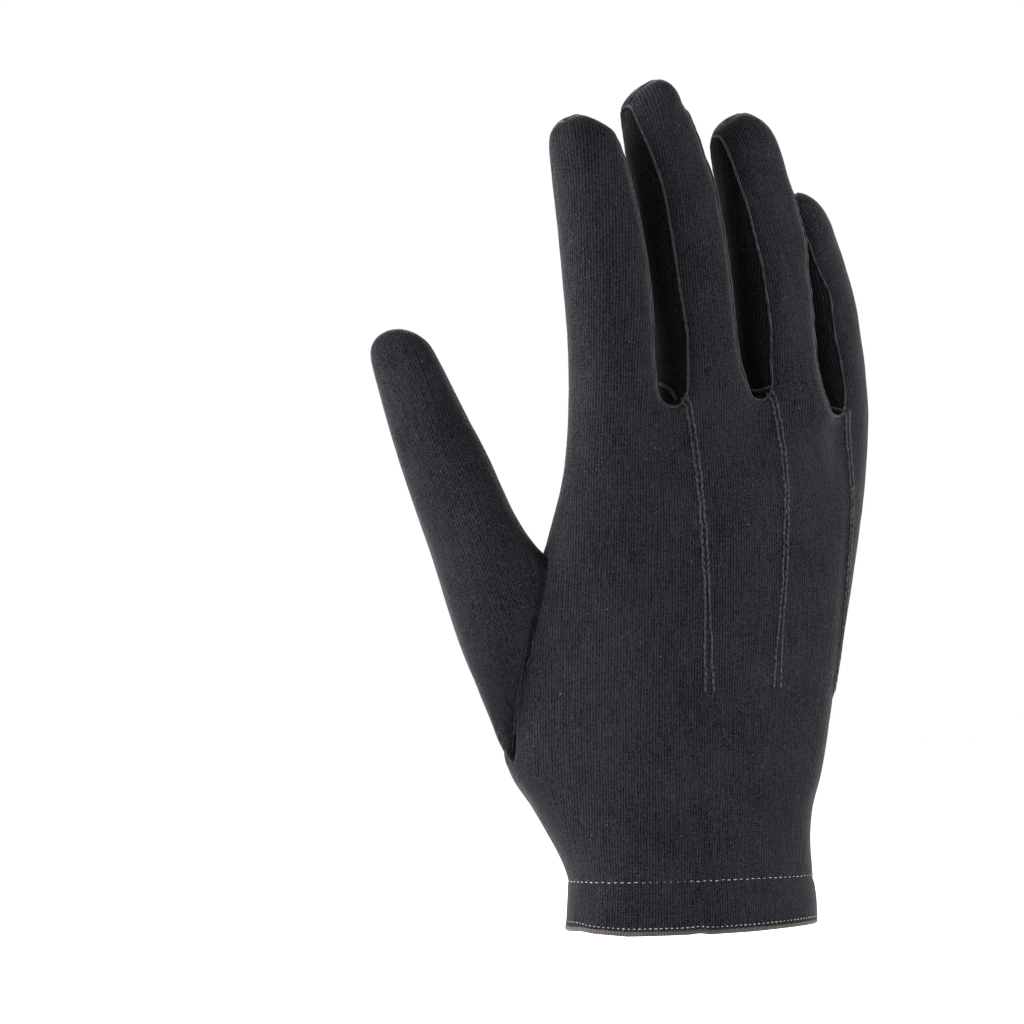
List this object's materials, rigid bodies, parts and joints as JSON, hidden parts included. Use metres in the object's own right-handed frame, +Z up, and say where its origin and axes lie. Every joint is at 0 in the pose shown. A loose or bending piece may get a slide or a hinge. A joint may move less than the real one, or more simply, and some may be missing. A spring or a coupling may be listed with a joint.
{
  "type": "dress glove",
  "caption": "Right-hand dress glove of thin black knitted cloth with fourchettes between the fingers, a set-in thumb, raised stitched points on the back and a snap-closed wrist vent.",
  "frame": {"origin": "middle of the wrist opening, level with the hem's edge", "axes": "+Z up along the fingers, -Y the back of the hand, +Y the palm, -X the thumb side"},
  "size_m": [0.1463, 0.0608, 0.2457],
  "materials": {
    "knit": "black knitted cloth, matt",
    "side_knit": "black knitted cloth, matt",
    "binding": "black knitted edging, matt",
    "enamel": "glossy black enamel",
    "steel": "bright metal"
  },
  "bodies": {
    "root": {"back_panel": "knit", "palm_panel": "knit", "thumb": "knit", "fourchette_index_middle": "side_knit", "fourchette_middle_ring": "side_knit", "fourchette_ring_little": "side_knit", "hem_band": "side_knit", "hem_binding": "binding", "vent_binding": "binding", "point_index_middle": "binding", "point_middle_ring": "binding", "point_ring_little": "binding", "snap_cap": "enamel", "snap_socket": "steel", "snap_stud": "steel"}
  },
  "joints": []
}
